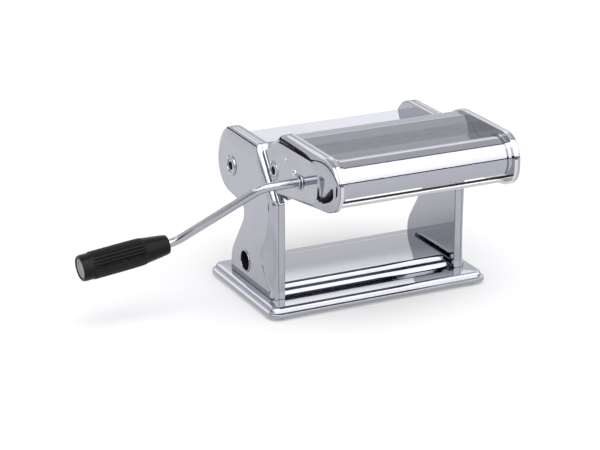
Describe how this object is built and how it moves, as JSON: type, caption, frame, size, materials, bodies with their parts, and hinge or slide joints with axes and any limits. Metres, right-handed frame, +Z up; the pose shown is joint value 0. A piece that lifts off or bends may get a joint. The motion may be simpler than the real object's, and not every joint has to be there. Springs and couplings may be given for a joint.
{
  "type": "pasta roller machine",
  "caption": "Hand-cranked pasta machine with adjustable smooth rollers and a lift-off cutter head on a pressed chrome stand.",
  "frame": {"origin": "on the table under the middle of the base, midway between the towers and between the base's front and rear rims", "axes": "+X along the rollers from the crank side to the knob side, -Y towards the cutter head, +Z up"},
  "size_m": [0.3618, 0.208, 0.156],
  "materials": {
    "polished_chrome": "mirror-bright plated pressed steel",
    "pressed_steel": "satin pressed steel",
    "roller_steel": "fine ground steel, lines round the roller",
    "cutter_steel": "turned steel discs",
    "zinc_hardware": "bright zinc plate",
    "crank_chrome": "bright plated steel rod",
    "gear_steel": "oiled sintered steel",
    "bronze": "oil-filled bronze",
    "black_rubber": "matt moulded rubber",
    "black_plastic": "semi-gloss moulded plastic",
    "grey_plastic": "fine matt moulded plastic",
    "cream_plastic": "food-safe nylon",
    "dial_paint": "satin anodised plate"
  },
  "bodies": {
    "stand": {"base_plate": "polished_chrome", "rubber_feet": "black_rubber", "foot_screws": "zinc_hardware", "base_screws": "zinc_hardware", "base_nuts": "zinc_hardware", "side_frame_left": "pressed_steel", "side_frame_right": "pressed_steel", "side_cover_left": "polished_chrome", "side_cover_right": "polished_chrome", "cover_screws": "zinc_hardware", "clamp_socket": "pressed_steel", "crank_bushing": "crank_chrome", "tie_rods": "pressed_steel", "tie_rod_nuts": "zinc_hardware", "rear_top_panel": "polished_chrome", "front_top_panel": "polished_chrome", "roller_scrapers": "cream_plastic", "drive_bushings": "bronze", "dial_plate": "dial_paint"},
    "drive_roller_unit": {"drive_roller": "roller_steel", "drive_gear": "gear_steel"},
    "gap_carriage": {"bearing_blocks": "bronze"},
    "adjustable_roller_unit": {"adjustable_roller": "roller_steel", "adjustable_gear": "gear_steel"},
    "gap_adjuster": {"adjuster_shaft": "pressed_steel", "adjuster_cams": "pressed_steel"},
    "knob_unit": {"adjuster_knob": "black_plastic", "knob_pin": "zinc_hardware", "knob_spring": "zinc_hardware"},
    "cutter_head": {"cutter_cap_left": "polished_chrome", "cutter_cap_right": "polished_chrome", "cutter_frame_left": "pressed_steel", "cutter_frame_right": "pressed_steel", "cutter_front_cover": "polished_chrome", "cutter_collars": "polished_chrome", "cutter_centre_guide": "polished_chrome", "cutter_rear_guide": "polished_chrome", "cutter_rods": "pressed_steel", "cutter_combs": "black_plastic", "socket_grommets": "crank_chrome", "cap_rivets": "zinc_hardware"},
    "wide_drive_unit": {"wide_drive_cutter": "cutter_steel", "wide_drive_gear": "gear_steel"},
    "wide_driven_unit": {"wide_driven_cutter": "cutter_steel", "wide_driven_gear": "gear_steel"},
    "narrow_drive_unit": {"narrow_drive_cutter": "cutter_steel", "narrow_drive_gear": "gear_steel"},
    "narrow_driven_unit": {"narrow_driven_cutter": "cutter_steel", "narrow_driven_gear": "gear_steel"},
    "crank": {"crank_rod": "crank_chrome", "crank_ferrule": "crank_chrome"},
    "crank_handle": {"crank_grip": "black_plastic", "grip_cap": "grey_plastic", "grip_washer": "zinc_hardware"}
  },
  "joints": [
    {"name": "drive_roller_spin", "type": "hinge", "parent": "stand", "child": "drive_roller_unit", "pos_m": [0, 0.036, 0.105], "axis": [1, 0, 0], "continuous": true},
    {"name": "gap_slide", "type": "slide", "parent": "stand", "child": "gap_carriage", "axis": [0, -1, 0], "range_m": [0, 0.0026]},
    {"name": "adjustable_roller_spin", "type": "hinge", "parent": "gap_carriage", "child": "adjustable_roller_unit", "pos_m": [0, 0.0096, 0.105], "axis": [1, 0, 0], "continuous": true},
    {"name": "gap_knob_turn", "type": "hinge", "parent": "stand", "child": "gap_adjuster", "pos_m": [0, -0.014, 0.105], "axis": [1, 0, 0], "range_deg": [0, 270]},
    {"name": "knob_pull", "type": "slide", "parent": "gap_adjuster", "child": "knob_unit", "axis": [1, 0, 0], "range_m": [0, 0.004], "stiffness_N_per_m": 600, "deforming": ["knob_spring"]},
    {"name": "cutter_head_lift", "type": "slide", "parent": "stand", "child": "cutter_head", "axis": [0, 0, 1], "range_m": [0, 0.05]},
    {"name": "wide_cutter_spin", "type": "hinge", "parent": "cutter_head", "child": "wide_drive_unit", "pos_m": [0, -0.0365, 0.1215], "axis": [1, 0, 0], "continuous": true},
    {"name": "wide_driven_spin", "type": "hinge", "parent": "cutter_head", "child": "wide_driven_unit", "pos_m": [0, -0.05405, 0.13787], "axis": [1, 0, 0], "continuous": true},
    {"name": "narrow_cutter_spin", "type": "hinge", "parent": "cutter_head", "child": "narrow_drive_unit", "pos_m": [0, -0.084, 0.126], "axis": [1, 0, 0], "continuous": true},
    {"name": "narrow_driven_spin", "type": "hinge", "parent": "cutter_head", "child": "narrow_driven_unit", "pos_m": [0, -0.10718, 0.13221], "axis": [1, 0, 0], "continuous": true},
    {"name": "crank_pull_out", "type": "slide", "parent": "narrow_drive_unit", "child": "crank", "axis": [-1, 0, 0], "range_m": [0, 0.025]},
    {"name": "handle_spin", "type": "hinge", "parent": "crank", "child": "crank_handle", "pos_m": [-0.173, -0.01542, 0.06468], "axis": [-0.9946, -0.0298, -0.0995], "continuous": true}
  ],
  "couplings": [
    {"joint": "adjustable_roller_spin", "follows": "drive_roller_spin", "ratio": -1},
    {"joint": "gap_knob_turn", "follows": "gap_slide", "rad_per_m": 1812.5},
    {"joint": "wide_driven_spin", "follows": "wide_cutter_spin", "ratio": -1},
    {"joint": "narrow_driven_spin", "follows": "narrow_cutter_spin", "ratio": -1}
  ]
}
